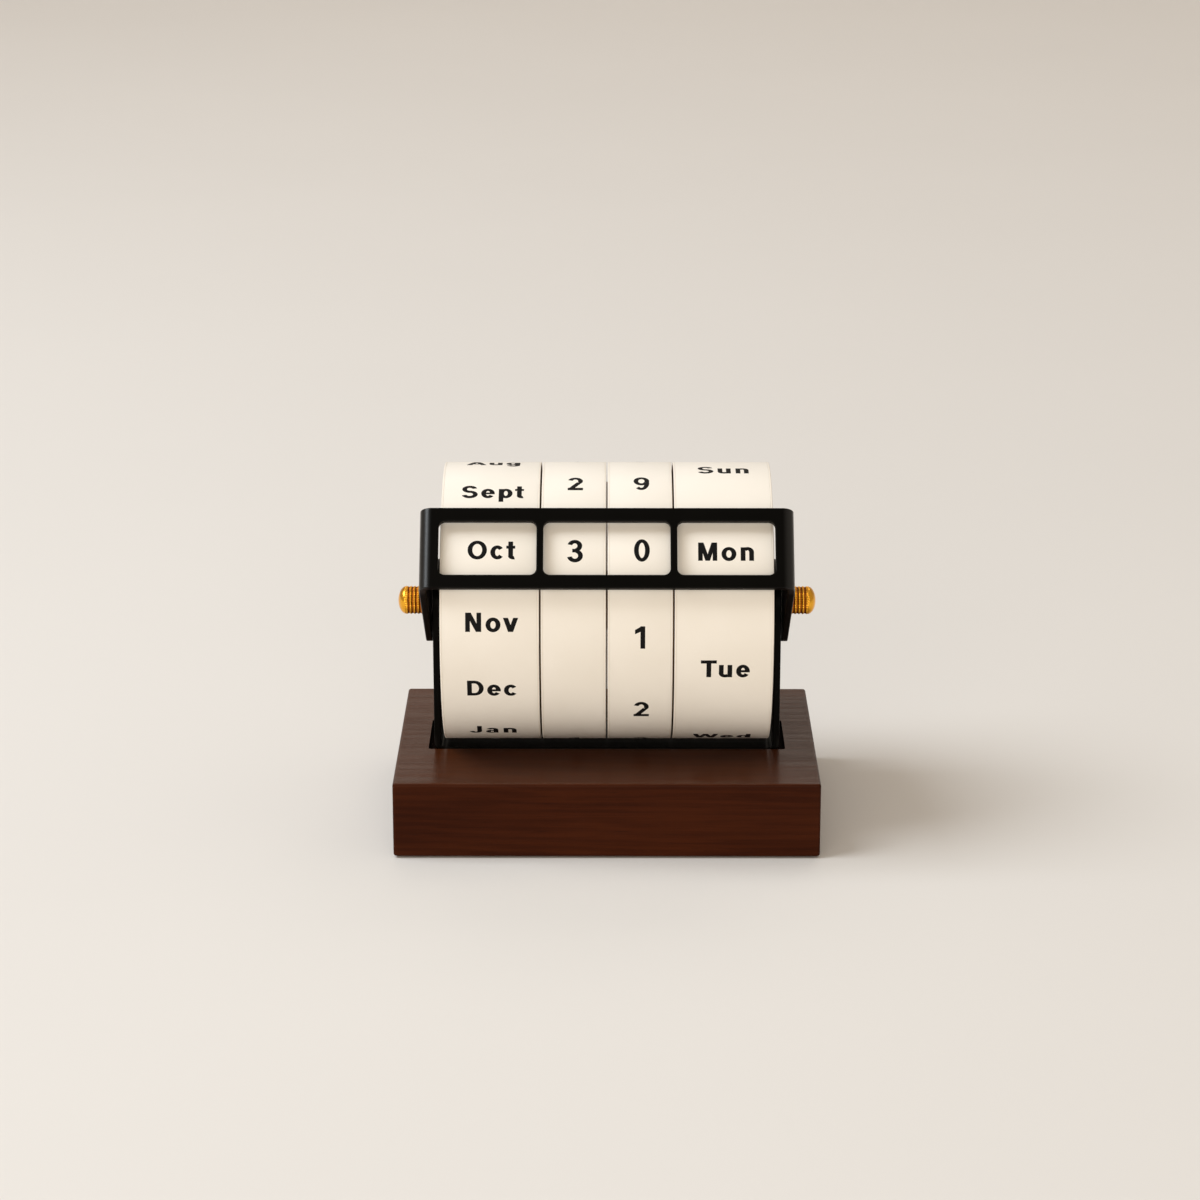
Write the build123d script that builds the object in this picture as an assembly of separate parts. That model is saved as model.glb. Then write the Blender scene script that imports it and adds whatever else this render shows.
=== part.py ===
# Perpetual desk calendar: four lettered drums on one axle, held in a bent-strap yoke on a
# wooden base, with a window bezel that swings on the same axle between two thumb nuts.
#
# Millimetres. +X runs along the axle to the reader's right, -Y faces the reader, +Z is up.
# The origin is the centre of the footprint, on the surface that the calendar stands on.

from build123d import *
import os

os.makedirs("parts", exist_ok=True)

# ---- Drums ---------------------------------------------------------------------------
DRUM_RADIUS = 42.0        # outside of the printed band
WIDE_DRUM = 29.1          # month and weekday drums
NARROW_DRUM = 19.1        # tens and units drums
DRUM_GAP = 0.5            # between the side faces of neighbours
BAND_THICK = 0.25
BAND_GLUE = 0.05          # glue line under the band
BAND_INSET = 0.6          # bare rim of the core at each side of the band
CORE_EDGE = 0.25          # eased corner of the core's rim

# ---- Wooden base ---------------------------------------------------------------------
BASE_DEPTH = 89.0
BASE_THICK = 23.0
BASE_MARGIN = 11.0        # from the yoke's outer face to the end of the base
BASE_EDGE = 0.9           # eased edges
PAD_RADIUS = 6.0
PAD_THICK = 1.5
PAD_PROUD = 0.5           # what lifts the wood off the table
PAD_INSET = 13.0          # pad centre from the sides of the base
PAD_ROOM = 0.1            # radial room of a pad in its pocket

# ---- Straps --------------------------------------------------------------------------
STRAP_WIDTH = 25.0
STRAP_THICK = 2.0
INNER_BEND = 1.5          # inside radius of a bend
STRAP_EDGE = 0.3          # broken edges under the coating
DRUM_CLEAR = 1.3          # drum to the top of the yoke's web
END_SPACE = 1.55          # outermost drum face to the yoke's upright
RECESS_END_ROOM = 1.8     # recess in the base beyond the yoke's ends
RECESS_SIDE_ROOM = 1.0    # recess in the base beyond the strap's long edges
RECESS_CORNER = 1.0

# ---- Window bezel --------------------------------------------------------------------
READING_ANGLE = 37.0      # how far above the horizontal the windows face
BEZEL_CLEAR = 1.2         # drum to the inner face of the bezel's panel
WINDOW_HEIGHT = 16.8
WINDOW_BAR = 2.0          # bars between the windows
WINDOW_CHEEK = 3.6        # from an end window to the inner face of the arm
WINDOW_CORNER = 2.0

# ---- Axle ----------------------------------------------------------------------------
ROD_RADIUS = 2.0
ROD_ROOM = 0.1            # radial room round the rod in straps, sleeve and washers
SLEEVE_RADIUS = 4.0
BUSH_RUN = 0.05           # radial running clearance of a bush on the sleeve
BUSH_RADIUS = 6.0
BUSH_LENGTH = 8.0
BUSH_SEAT = 0.02          # radial fit of a bush in its core
FLANGE_RADIUS = 9.0
FLANGE_THICK = 1.0
FACE_RUN = 0.05           # between flat faces that turn against each other
FACE_SEAT = 0.02          # between flat faces that only meet
DISC_RADIUS = 36.0        # fibre discs in the gaps between the drums
DISC_THICK = 0.3
DISC_ROOM = 0.1           # radial room of a fibre disc on the bush flanges

# ---- Washers, spring and thumb nuts ----------------------------------------------------
THRUST_RADIUS = 8.0
THIN_THRUST = 0.5         # thickness of the thrust washer beside the disc spring
SPRING_THICK = 0.35
FRICTION_RADIUS = 7.0
FRICTION_THICK = 0.3      # nylon washers between the bezel's arms and the yoke
CLAMP_RADIUS = 3.9
CLAMP_THICK = 0.8
NUT_RADIUS = 4.25
NUT_LENGTH = 7.65
NUT_DOME = 1.9            # length of the domed end
NUT_GROOVES = 4
GROOVE_PITCH = 1.17
GROOVE_RADIUS = 0.24      # half-round grooves between the ribs
NUT_COLLAR = 0.9          # from the nut's flat face to the first groove
NUT_BORE = 5.2            # depth of the blind thread
THREAD_ROOM = 0.05        # radial room between the thread's envelope and the rod
ROD_TIP_ROOM = 0.4        # from the rod's end to the bottom of the thread
ROD_CHAMFER = 0.4

# ---- Wood screws ----------------------------------------------------------------------
SCREW_SPREAD = 34.0       # screw from the middle of the web
SCREW_RADIUS = 2.0
SCREW_HEAD = 3.8          # head radius, 90 degree countersink
SCREW_ROOM = 0.05         # radial room in the wood and in the web
SCREW_COVER = 7.0         # wood left under the point
SCREW_POINT = 2.5         # length of the point
CROSS_WIDTH = 0.9
CROSS_DEPTH = 1.2
CROSS_SPAN = 4.4

# ---- Worked out from the values above ---------------------------------------------------
DRUM_WIDTHS = {"month": WIDE_DRUM, "tens": NARROW_DRUM, "units": NARROW_DRUM, "weekday": WIDE_DRUM}
STACK = sum(DRUM_WIDTHS.values()) + DRUM_GAP * (len(DRUM_WIDTHS) - 1)
WEB_TOP = PAD_PROUD + BASE_THICK
AXLE_Z = WEB_TOP + DRUM_CLEAR + DRUM_RADIUS
YOKE_INNER = STACK + 2 * END_SPACE
YOKE_OUTER = YOKE_INNER + 2 * STRAP_THICK
BASE_LENGTH = YOKE_OUTER + 2 * BASE_MARGIN
BEZEL_INNER = YOKE_OUTER + 2 * (FRICTION_THICK + 2 * FACE_RUN)
BEZEL_OUTER = BEZEL_INNER + 2 * STRAP_THICK
FLANGE_PROUD = (DRUM_GAP - FACE_RUN) / 2
CLAMP_START = BEZEL_OUTER / 2 + FACE_RUN
NUT_START = CLAMP_START + CLAMP_THICK + FACE_RUN
ROD_END = NUT_START + NUT_BORE - ROD_TIP_ROOM
SLEEVE_BORE = ROD_RADIUS + ROD_ROOM
THRUST_ROOM = END_SPACE - FLANGE_PROUD - FACE_RUN
AXLE = Pos(0, 0, AXLE_Z)
MIDDLE_LOW = (Align.CENTER, Align.CENTER, Align.MIN)
MIDDLE_HIGH = (Align.CENTER, Align.CENTER, Align.MAX)


def save(shape, node):
    """Write one piece to its own file, named after its node."""
    shape.label = node
    export_step(shape, f"parts/{node}.step")


def along_x(radius, start, end):
    """A round bar on the X axis from start to end."""
    return Pos(start, 0, 0) * Rot(Y=90) * Cylinder(radius, end - start, align=MIDDLE_LOW)


def ring_x(outer, inner, start, end):
    """A round bar on the X axis with a bore right through."""
    return along_x(outer, start, end) - along_x(inner, start, end)


def on_both_sides(left_shape):
    """A piece at the axle's left end, and the same piece mirrored to the right end."""
    return {"left": left_shape, "right": mirror(left_shape, about=Plane.YZ)}


# ---- Base, pads and screws --------------------------------------------------------------
def pad_centres():
    """The four places under the base where a pad sits."""
    x = BASE_LENGTH / 2 - PAD_INSET
    y = BASE_DEPTH / 2 - PAD_INSET
    return {"front_left": (-x, -y), "front_right": (x, -y), "back_left": (-x, y), "back_right": (x, y)}


def screw_centres():
    """X of the two wood screws."""
    return {"left": -SCREW_SPREAD, "right": SCREW_SPREAD}


def wood_base():
    """Solid block with eased edges, a recess for the yoke, pad pockets and pilot holes."""
    block = Pos(0, 0, PAD_PROUD) * Box(BASE_LENGTH, BASE_DEPTH, BASE_THICK, align=MIDDLE_LOW)
    block = fillet(block.edges(), BASE_EDGE)
    recess_length = YOKE_OUTER + 2 * RECESS_END_ROOM
    recess = RectangleRounded(recess_length, STRAP_WIDTH + 2 * RECESS_SIDE_ROOM, RECESS_CORNER)
    block -= Pos(0, 0, WEB_TOP - STRAP_THICK) * extrude(recess, STRAP_THICK + BASE_EDGE)
    for x, y in pad_centres().values():
        block -= Pos(x, y, 0) * Cylinder(PAD_RADIUS + PAD_ROOM, PAD_THICK, align=MIDDLE_LOW)
    for x in screw_centres().values():
        block -= Pos(x, 0, 0) * screw_envelope(SCREW_ROOM)
    return block


def foot_pad(x, y):
    """Felt disc, mostly sunk in its pocket."""
    return Pos(x, y, 0) * Cylinder(PAD_RADIUS, PAD_THICK, align=MIDDLE_LOW)


def screw_envelope(room):
    """A countersunk screw's outline turned about Z, flush with the web, grown by some room."""
    head = SCREW_HEAD + room
    shank = SCREW_RADIUS + room
    tip = PAD_PROUD + SCREW_COVER - room
    with BuildPart() as screw:
        with BuildSketch(Plane.XZ):
            Polygon(
                (0, tip),
                (shank, tip + SCREW_POINT),
                (shank, WEB_TOP - (head - shank)),
                (head, WEB_TOP),
                (0, WEB_TOP),
                align=None,
            )
        revolve(axis=Axis.Z)
    return screw.part


def yoke_screw(x):
    """Countersunk wood screw with a cross recess."""
    screw = screw_envelope(0)
    for turn in (0, 90):
        slot = Box(CROSS_SPAN, CROSS_WIDTH, CROSS_DEPTH, align=MIDDLE_HIGH)
        screw -= Pos(0, 0, WEB_TOP) * Rot(Z=turn) * slot
    return Pos(x, 0, 0) * screw


# ---- Straps -------------------------------------------------------------------------------
def bent_strap(inner_width, reach):
    """A strap bent into a U round the axle: a web below it and two arms with round ends.

    The axle is the X axis. The web's inner face is reach below it.
    """
    half = STRAP_WIDTH / 2
    floor = reach + STRAP_THICK
    outer_width = inner_width + 2 * STRAP_THICK
    outer = Pos(0, 0, -floor) * Box(outer_width, STRAP_WIDTH, floor + half, align=MIDDLE_LOW)
    outer = fillet(outer.edges().filter_by(Axis.Y).group_by(Axis.Z)[0], INNER_BEND + STRAP_THICK)
    inner = Pos(0, 0, -reach) * Box(inner_width, 2 * STRAP_WIDTH, reach + half, align=MIDDLE_LOW)
    inner = fillet(inner.edges().filter_by(Axis.Y).group_by(Axis.Z)[0], INNER_BEND)
    strap = outer - inner
    side = Box(outer_width, STRAP_WIDTH, floor, align=MIDDLE_HIGH)
    side += along_x(half, -outer_width / 2, outer_width / 2)
    return strap & side


def break_edges(strap):
    """Ease every edge of a strap, as deburring and the coating do."""
    return fillet(strap.edges(), STRAP_EDGE)


def axle_hole(strap):
    """Bore both arms for the axle rod."""
    return strap - along_x(SLEEVE_BORE, -BEZEL_OUTER, BEZEL_OUTER)


def yoke_frame():
    """The U that stands in the base's recess and carries the axle."""
    strap = axle_hole(break_edges(bent_strap(YOKE_INNER, DRUM_RADIUS + DRUM_CLEAR)))
    strap = AXLE * strap
    for x in screw_centres().values():
        strap -= Pos(x, 0, 0) * screw_envelope(SCREW_ROOM)
    return strap


def window(start, end, depth):
    """A window's cutter between two places along X, through the web below the axle."""
    outline = RectangleRounded(end - start, WINDOW_HEIGHT, WINDOW_CORNER)
    return Pos((start + end) / 2, 0, -depth) * extrude(outline, 2 * STRAP_THICK, both=True)


def window_bezel():
    """The U whose web is the window panel, turned up to face the reader."""
    reach = DRUM_RADIUS + BEZEL_CLEAR
    bar = NARROW_DRUM + DRUM_GAP
    window_end = BEZEL_INNER / 2 - WINDOW_CHEEK
    strap = bent_strap(BEZEL_INNER, reach)
    strap -= window(-bar + WINDOW_BAR / 2, bar - WINDOW_BAR / 2, reach)
    strap -= window(bar + WINDOW_BAR / 2, window_end, reach)
    strap -= window(-window_end, -bar - WINDOW_BAR / 2, reach)
    strap = axle_hole(break_edges(strap))
    return AXLE * Rot(X=-(90 + READING_ANGLE)) * strap


# ---- Drums ----------------------------------------------------------------------------------
def drum_starts():
    """X of the left side face of each drum, from left to right."""
    starts = {}
    x = -STACK / 2
    for name, width in DRUM_WIDTHS.items():
        starts[name] = x
        x += width + DRUM_GAP
    return starts


def drum_core(start, width):
    """Turned disc with eased rims, a stepped bore for the bushes and room for the sleeve."""
    end = start + width
    sink = FLANGE_THICK - FLANGE_PROUD
    core = along_x(DRUM_RADIUS, start, end)
    core = fillet(core.edges().filter_by(GeomType.CIRCLE), CORE_EDGE)
    under_band = DRUM_RADIUS - BAND_THICK - BAND_GLUE
    core -= ring_x(DRUM_RADIUS + BAND_THICK, under_band, start + BAND_INSET, end - BAND_INSET)
    core -= along_x(BUSH_RADIUS + BUSH_SEAT, start, end)
    core -= along_x(FLANGE_RADIUS + BUSH_SEAT, start, start + sink)
    core -= along_x(FLANGE_RADIUS + BUSH_SEAT, end - sink, end)
    return AXLE * core


def drum_band(start, width):
    """Printed band in the shallow groove round the core."""
    left = start + BAND_INSET + FACE_SEAT
    right = start + width - BAND_INSET - FACE_SEAT
    return AXLE * ring_x(DRUM_RADIUS, DRUM_RADIUS - BAND_THICK, left, right)


def drum_bush(face, inwards):
    """Flanged bush at a side face; inwards is +1 where the drum lies to the right of the face."""
    outer = face - inwards * FLANGE_PROUD
    shoulder = outer + inwards * FLANGE_THICK
    tail = shoulder + inwards * BUSH_LENGTH
    flange = along_x(FLANGE_RADIUS, min(outer, shoulder), max(outer, shoulder))
    barrel = along_x(BUSH_RADIUS, min(outer, tail), max(outer, tail))
    bore = along_x(SLEEVE_RADIUS + BUSH_RUN, min(outer, tail), max(outer, tail))
    return AXLE * (flange + barrel - bore)


def fibre_disc(next_drum):
    """Thin fibre disc in the gap to the left of a drum, centred on the bush flanges."""
    middle = drum_starts()[next_drum] - DRUM_GAP / 2
    half = DISC_THICK / 2
    return AXLE * ring_x(DISC_RADIUS, FLANGE_RADIUS + DISC_ROOM, middle - half, middle + half)


# ---- Axle, washers and spring ------------------------------------------------------------------
def axle_rod():
    """Plain envelope of the rod, with chamfered ends."""
    rod = along_x(ROD_RADIUS, -ROD_END, ROD_END)
    return AXLE * chamfer(rod.edges().filter_by(GeomType.CIRCLE), ROD_CHAMFER)


def axle_sleeve():
    """Spacer between the uprights, which the drums run on."""
    end = YOKE_INNER / 2 - FACE_SEAT
    return AXLE * ring_x(SLEEVE_RADIUS, SLEEVE_BORE, -end, end)


def thick_thrust_washer():
    """Nylon washer that fills the end space on the left."""
    end = -YOKE_INNER / 2 + FACE_SEAT
    return AXLE * ring_x(THRUST_RADIUS, SLEEVE_RADIUS + ROD_ROOM, end, -YOKE_INNER / 2 + THRUST_ROOM)


def thin_thrust_washer():
    """Nylon washer between the right-hand drum and the disc spring."""
    start = YOKE_INNER / 2 - THRUST_ROOM
    return AXLE * ring_x(THRUST_RADIUS, SLEEVE_RADIUS + ROD_ROOM, start, start + THIN_THRUST)


def disc_spring():
    """Shallow steel cone that presses the drums together and holds them where they are set."""
    start = YOKE_INNER / 2 - THRUST_ROOM + THIN_THRUST + FACE_SEAT
    end = YOKE_INNER / 2 - FACE_SEAT
    inner = SLEEVE_RADIUS + ROD_ROOM
    with BuildPart() as spring:
        with BuildSketch(Plane.XZ):
            Polygon(
                (start, THRUST_RADIUS),
                (start + SPRING_THICK, THRUST_RADIUS),
                (end, inner),
                (end - SPRING_THICK, inner),
                align=None,
            )
        revolve(axis=Axis.X)
    return AXLE * spring.part


def friction_washer():
    """Nylon washer between the yoke and the bezel's left arm."""
    end = -YOKE_OUTER / 2 - FACE_RUN
    return AXLE * ring_x(FRICTION_RADIUS, SLEEVE_BORE, end - FRICTION_THICK, end)


def clamp_washer():
    """Steel washer under the left thumb nut."""
    return AXLE * ring_x(CLAMP_RADIUS, SLEEVE_BORE, -CLAMP_START - CLAMP_THICK, -CLAMP_START)


def thumb_nut():
    """Left brass thumb nut: ribbed barrel with a domed outer end and a blind thread."""
    body = NUT_LENGTH - NUT_DOME
    side = Polyline((0, NUT_LENGTH), (0, 0), (NUT_RADIUS, 0), (NUT_RADIUS, body))
    dome = TangentArc((0, NUT_LENGTH), (NUT_RADIUS, body), tangent=(1, 0))
    outline = make_face(side + dome)
    for groove in range(NUT_GROOVES):
        outline -= Pos(NUT_RADIUS, NUT_COLLAR + groove * GROOVE_PITCH) * Circle(GROOVE_RADIUS)
    nut = revolve(Plane.XZ * outline, Axis.Z)
    nut -= Cylinder(ROD_RADIUS + THREAD_ROOM, NUT_BORE, align=MIDDLE_LOW)
    return AXLE * Pos(-NUT_START, 0, 0) * Rot(Y=-90) * nut


# ---- Write every piece --------------------------------------------------------------------------
save(wood_base(), "wood_base")
for corner, (pad_x, pad_y) in pad_centres().items():
    save(foot_pad(pad_x, pad_y), f"foot_pad_{corner}")
save(yoke_frame(), "yoke_frame")
for side, screw_x in screw_centres().items():
    save(yoke_screw(screw_x), f"yoke_screw_{side}")

save(axle_rod(), "axle_rod")
save(axle_sleeve(), "axle_sleeve")
save(thick_thrust_washer(), "thrust_washer_left")
save(thin_thrust_washer(), "thrust_washer_right")
save(disc_spring(), "disc_spring")

for drum, drum_start in drum_starts().items():
    drum_width = DRUM_WIDTHS[drum]
    save(drum_core(drum_start, drum_width), f"{drum}_core")
    save(drum_band(drum_start, drum_width), f"{drum}_band")
    save(drum_bush(drum_start, 1), f"{drum}_bush_left")
    save(drum_bush(drum_start + drum_width, -1), f"{drum}_bush_right")

for side, next_drum in {"left": "tens", "middle": "units", "right": "weekday"}.items():
    save(fibre_disc(next_drum), f"fibre_disc_{side}")

save(window_bezel(), "window_bezel")
for side, piece in on_both_sides(friction_washer()).items():
    save(piece, f"friction_washer_{side}")
for side, piece in on_both_sides(clamp_washer()).items():
    save(piece, f"clamp_washer_{side}")
for side, piece in on_both_sides(thumb_nut()).items():
    save(piece, f"thumb_nut_{side}")

print(f"axle height {AXLE_Z:.2f}, base {BASE_LENGTH:.2f} x {BASE_DEPTH:.2f} x {BASE_THICK:.2f}")
print(f"drum stack {STACK:.2f}, yoke {YOKE_INNER:.2f} inside, bezel {BEZEL_INNER:.2f} inside")
print(f"rod ends at {ROD_END:.2f}, thumb nuts at {NUT_START + NUT_LENGTH:.2f} from the middle")
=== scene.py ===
# %% [markdown]
# # A desk calendar with turning drums
#
# This lesson dresses a desk calendar that never runs out: four lettered drums on one axle, a black
# bent-steel yoke on a dark wooden base, and a black bezel whose windows frame today's date.
# The measured parts come ready made, so the work here is finish and fine detail: wood grain,
# powder coat, turned brass and crisp lettering that wraps round the drums.
#
# The first cell loads the parts. Everything after it takes its places from them, never by eye.

# %% Load the measured parts
import math

import bmesh
import bpy
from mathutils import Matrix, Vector, noise
from mathutils.geometry import delaunay_2d_cdt


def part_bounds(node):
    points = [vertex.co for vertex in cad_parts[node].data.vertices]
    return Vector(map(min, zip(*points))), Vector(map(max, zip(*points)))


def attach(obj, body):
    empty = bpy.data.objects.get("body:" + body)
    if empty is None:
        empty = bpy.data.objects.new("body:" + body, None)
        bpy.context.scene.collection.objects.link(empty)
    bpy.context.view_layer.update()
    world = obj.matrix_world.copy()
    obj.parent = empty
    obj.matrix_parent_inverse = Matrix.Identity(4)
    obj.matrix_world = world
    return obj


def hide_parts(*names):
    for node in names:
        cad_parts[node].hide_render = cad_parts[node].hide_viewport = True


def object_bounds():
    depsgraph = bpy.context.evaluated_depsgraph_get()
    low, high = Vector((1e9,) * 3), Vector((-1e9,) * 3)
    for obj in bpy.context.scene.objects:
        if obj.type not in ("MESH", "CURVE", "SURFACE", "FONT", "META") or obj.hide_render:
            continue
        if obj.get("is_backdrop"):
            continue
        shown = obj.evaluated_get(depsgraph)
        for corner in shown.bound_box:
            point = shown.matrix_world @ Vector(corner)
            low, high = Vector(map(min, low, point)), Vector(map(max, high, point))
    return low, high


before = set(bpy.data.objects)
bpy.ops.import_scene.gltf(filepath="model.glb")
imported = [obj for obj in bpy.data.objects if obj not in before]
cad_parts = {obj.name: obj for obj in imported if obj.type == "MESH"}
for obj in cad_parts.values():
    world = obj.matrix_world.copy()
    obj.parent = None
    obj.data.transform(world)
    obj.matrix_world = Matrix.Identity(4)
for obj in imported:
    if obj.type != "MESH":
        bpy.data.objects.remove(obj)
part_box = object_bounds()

MM = 0.001

# %% [markdown]
# ## Where the axle is
#
# Almost everything here is round about one axle. Its height is the middle of the axle rod's box,
# and the drums' radius is half the height of a printed band's box. Reading both from the parts
# means that the lettering still fits if the calendar is ever made larger.

# %% Read the axle and the drums from the parts
def middle(node):
    """The middle of a part's box, in metres."""
    low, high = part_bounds(node)
    return (low + high) / 2


DRUMS = ("month", "tens", "units", "weekday")
AXLE_Z = middle("axle_rod").z
band_low, band_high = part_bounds("month_band")
DRUM_RADIUS = (band_high.z - band_low.z) / 2
READING_ANGLE = math.radians(37)
print("axle height %.2f mm, drum radius %.2f mm" % (AXLE_Z / MM, DRUM_RADIUS / MM))

# %% [markdown]
# ## Small helpers for meshes
#
# A turned part is one outline swept round an axis, so a single helper makes all of them.
# The outline's corners are eased first: a true sharp corner never catches the light, and real
# parts never have one. Shading is smooth, except across edges that are meant to look crisp.

# %% Ease the corners of an outline
JUST_UNDER_HALF = 1 / 2.1       # two corners on one side never take all of it


def eased(corners, radius, steps=4):
    """A loop of points with each corner replaced by a short arc, as a deburring tool leaves it."""
    loop = []
    for i, corner in enumerate(corners):
        here = Vector(corner)
        before = Vector(corners[i - 1]) - here
        after = Vector(corners[(i + 1) % len(corners)]) - here
        cut = min(radius, before.length * JUST_UNDER_HALF, after.length * JUST_UNDER_HALF)
        start = here + before.normalized() * cut
        end = here + after.normalized() * cut
        for step in range(steps + 1):
            t = step / steps
            loop.append((1 - t) ** 2 * start + 2 * t * (1 - t) * here + t * t * end)
    return loop


print("an eased square has", len(eased([(0, 0), (1, 0), (1, 1), (0, 1)], 0.1)), "points")


# %% Turn a mesh into an object
TOUCHING = 0.0005 * MM      # points closer than this are one point


def make_object(name, mesh_builder, crisp_degrees=35):
    """Finish a bmesh: merge, orient, shade, and link it as an object."""
    bmesh.ops.remove_doubles(mesh_builder, verts=mesh_builder.verts, dist=TOUCHING)
    bmesh.ops.dissolve_degenerate(mesh_builder, edges=mesh_builder.edges, dist=TOUCHING)
    bmesh.ops.recalc_face_normals(mesh_builder, faces=mesh_builder.faces)
    mesh = bpy.data.meshes.new(name)
    mesh_builder.to_mesh(mesh)
    mesh_builder.free()
    mesh.shade_smooth()
    mesh.set_sharp_from_angle(angle=math.radians(crisp_degrees))
    made = bpy.data.objects.new(name, mesh)
    bpy.context.scene.collection.objects.link(made)
    return made


# %% Sweep an outline round the axle
def about_axle(x, radius, angle):
    """A point at a distance from the axle. Angle 0 faces the reader and 90 degrees is up."""
    return Vector((x, -radius * math.cos(angle), AXLE_Z + radius * math.sin(angle)))


def turned(name, outline, turns=256, ripple=None):
    """A solid of revolution about the axle, from a loop of (x, radius) in metres.

    ripple, if given, changes the radius with x, radius and angle, as knurling and threads do.
    """
    builder = bmesh.new()
    rows = []
    for i in range(turns):
        angle = 2 * math.pi * i / turns
        row = []
        for x, radius in outline:
            lift = ripple(x, radius, angle) if ripple else 0
            row.append(builder.verts.new(about_axle(x, max(radius + lift, 0), angle)))
        rows.append(row)
    count = len(outline)
    for i in range(turns):
        here, there = rows[i], rows[(i + 1) % turns]
        for j in range(count):
            k = (j + 1) % count
            builder.faces.new((here[j], here[k], there[k], there[j]))
    return make_object(name, builder)


# %% [markdown]
# ## Shader sums as plain Python
#
# A finish is a sum of small effects: grain, pores, dust, wear. Written as nodes by hand that is a
# tangle, so the class below wraps one node socket and lets Python's own operators add the Math
# nodes. `1 - mask` and `0.4 + 0.1 * speckle` then read exactly as they would on paper.

# %% Wrap a node socket
class Wire:
    """A value that flows through a finish. Arithmetic on wires adds Math nodes."""

    def __init__(self, finish, socket):
        self.finish = finish
        self.socket = socket

    def math(self, operation, *others):
        return self.finish.node("ShaderNodeMath", (self, *others), operation=operation)

    def __add__(self, other):
        return self.math("ADD", other)

    def __sub__(self, other):
        return self.math("SUBTRACT", other)

    def __rsub__(self, other):
        return self.finish.node("ShaderNodeMath", (other, self), operation="SUBTRACT")

    def __mul__(self, other):
        return self.math("MULTIPLY", other)

    def __truediv__(self, other):
        return self.math("DIVIDE", other)

    def __pow__(self, other):
        return self.math("POWER", other)

    __radd__ = __add__
    __rmul__ = __mul__

    def rise(self, low, high):
        """0 below low, 1 above high, and a soft step between them."""
        values = {"Value": self, "From Min": low, "From Max": high, "To Min": 0.0, "To Max": 1.0}
        return self.finish.node("ShaderNodeMapRange", values, interpolation_type="SMOOTHSTEP")


# %% Hold one finish
class Finish:
    """One material: its nodes, its coordinates in millimetres, and its surface."""

    def __init__(self, name):
        self.material = bpy.data.materials.new(name)
        self.material.use_nodes = True
        self.tree = self.material.node_tree
        self.surface_node = self.tree.nodes["Principled BSDF"]

    def put(self, socket, value):
        """Link a wire to a socket, or set the socket's own value."""
        if isinstance(value, Wire):
            self.tree.links.new(value.socket, socket)
        elif isinstance(value, (tuple, list)) and len(socket.default_value) == 4:
            socket.default_value = (*value[:3], 1.0)
        else:
            socket.default_value = value

    def node(self, kind, values=(), output=0, **settings):
        """Add a node. Settings go first, then the values or wires of its sockets."""
        node = self.tree.nodes.new(kind)
        for key, setting in settings.items():
            setattr(node, key, setting)
        pairs = values.items() if isinstance(values, dict) else enumerate(values)
        for key, value in pairs:
            self.put(node.inputs[key], value)
        return Wire(self, node.outputs[output])

    def place(self):
        """X, Y and Z in millimetres, fixed to the piece so that the finish turns with it."""
        point = self.node("ShaderNodeTexCoord", output="Object")
        return [self.node("ShaderNodeSeparateXYZ", (point,), output=i) / MM for i in range(3)]

    def noise(self, x, y, z, detail=2.0, roughness=0.5):
        """Smooth noise from 0 to 1 at a place, one unit to a blob."""
        point = self.node("ShaderNodeCombineXYZ", (x, y, z))
        values = {"Vector": point, "Scale": 1.0, "Detail": detail, "Roughness": roughness}
        return self.node("ShaderNodeTexNoise", values, noise_dimensions="3D")

    def mix(self, factor, low, high):
        """A colour between two colours."""
        return self.node("ShaderNodeMix", {0: factor, 6: low, 7: high}, output=2, data_type="RGBA")

    def bump(self, height_mm, strength=1.0):
        """Turn a height in millimetres into a Normal."""
        values = {"Strength": strength, "Distance": MM, "Height": height_mm}
        return self.node("ShaderNodeBump", values)

    def surface(self, **values):
        """Set the surface's sockets; base_color stands for Base Color, and so on."""
        for key, value in values.items():
            self.put(self.surface_node.inputs[key.replace("_", " ").title().replace("Ior", "IOR")], value)
        return self


def dress(node, finish):
    """Give a measured part a finish in place of its plain one."""
    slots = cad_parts[node].material_slots
    for slot in slots:
        slot.material = finish.material
    if not slots:
        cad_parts[node].data.materials.append(finish.material)


print("shader helpers ready")

# %% [markdown]
# ## Dark wood
#
# The base is one block with its grain along the length: fine dark pores as short streaks, slow
# bands where one year's growth meets the next, and a streaky satin lacquer on the top face, which
# mirrors the room at a low angle. The top face's colour is also painted lighter, a painted
# highlight for the room's light on it. The recess under the yoke is rough, and its colour is
# darkened to nearly black: painted shade for the deep gap round the yoke's foot. The grain is a
# solid texture, worked out in millimetres through the whole block, so the ends show end grain and
# the edges meet as they do on real timber. A picture wrapped on the outside would give itself away
# at every corner.

# %% Make the wood
yoke_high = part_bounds("yoke_frame")[1]
RECESS_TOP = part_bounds("wood_base")[1].z / MM      # the base's top face, in millimetres like the finish
RECESS_END = yoke_high.x / MM + 1.8             # the recess is a little longer than the yoke's foot
RECESS_SIDE = yoke_high.y / MM + 1.0            # and a little wider
DARK_FROM = 4                                   # the recess's painted shade starts this high


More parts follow.
